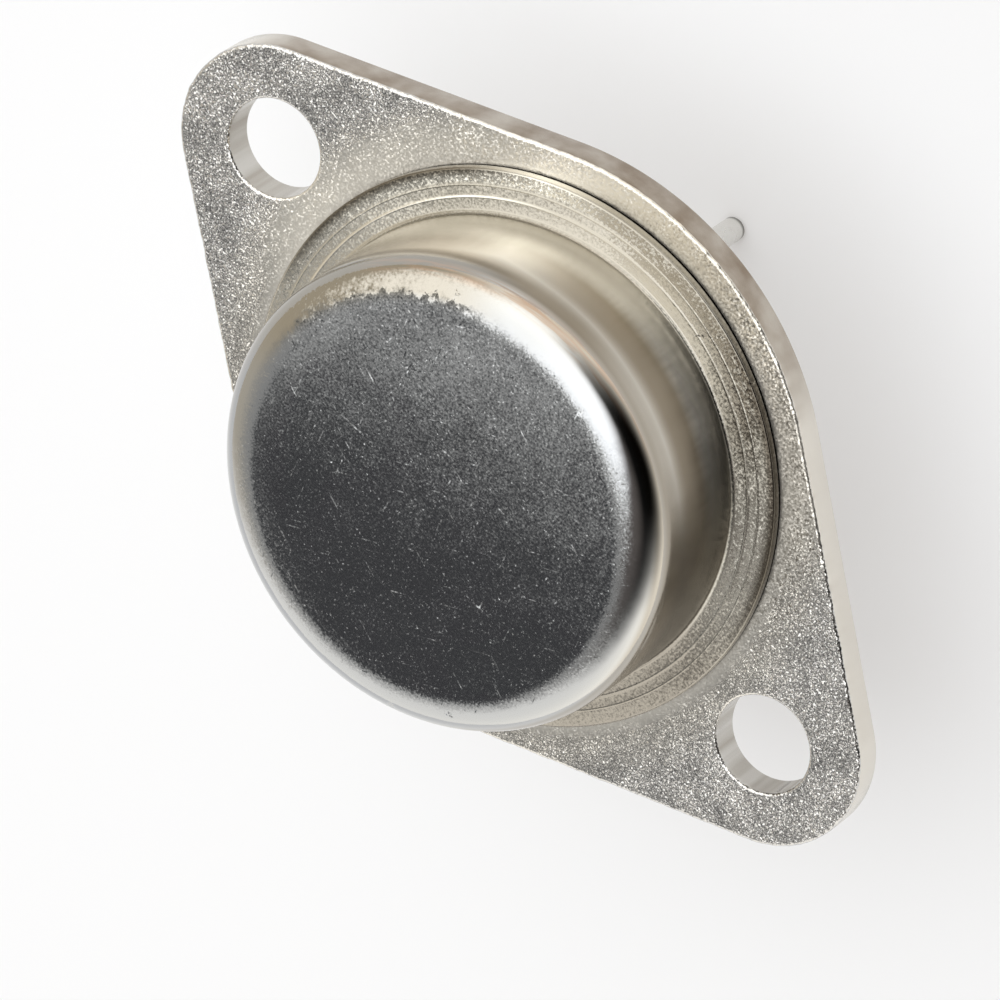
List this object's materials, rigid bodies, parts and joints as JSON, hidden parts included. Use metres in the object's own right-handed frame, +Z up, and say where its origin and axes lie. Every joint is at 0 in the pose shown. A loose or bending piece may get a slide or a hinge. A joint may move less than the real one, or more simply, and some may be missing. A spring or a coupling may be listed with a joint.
{
  "type": "power transistor",
  "caption": "Diamond-flanged metal-can power transistor with round welded cap, screw holes for a heat sink and glass-sealed straight leads.",
  "frame": {"origin": "centre of the header's flat seating face, midway between the two screw holes and on the cap's axis", "axes": "+Z up along the cap's axis, away from the seating face; +X from the screw hole nearer the leads to the other one; the leads point along -Z"},
  "size_m": [0.0388, 0.0256, 0.0201],
  "materials": {
    "header_steel": "nickel-plated steel, tumbled matt and finely speckled",
    "cap_steel": "nickel-plated drawn steel, smooth with fine scratches",
    "lead_metal": "tinned iron-nickel alloy, satin",
    "seal_glass": "dark green compression-seal glass, glossy",
    "copper": "bare copper, satin",
    "braze": "silver braze, satin",
    "silicon": "silicon, polished",
    "solder": "lead-tin solder, dull",
    "aluminium": "bare aluminium, bright"
  },
  "bodies": {
    "root": {"header": "header_steel", "cap": "cap_steel", "base_lead": "lead_metal", "emitter_lead": "lead_metal", "base_glass_seal": "seal_glass", "emitter_glass_seal": "seal_glass", "heat_spreader": "copper", "spreader_braze": "braze", "die": "silicon", "die_solder": "solder", "emitter_contact": "aluminium", "base_contact": "aluminium", "emitter_wire_1": "aluminium", "emitter_wire_2": "aluminium", "base_wire": "aluminium"}
  },
  "joints": []
}
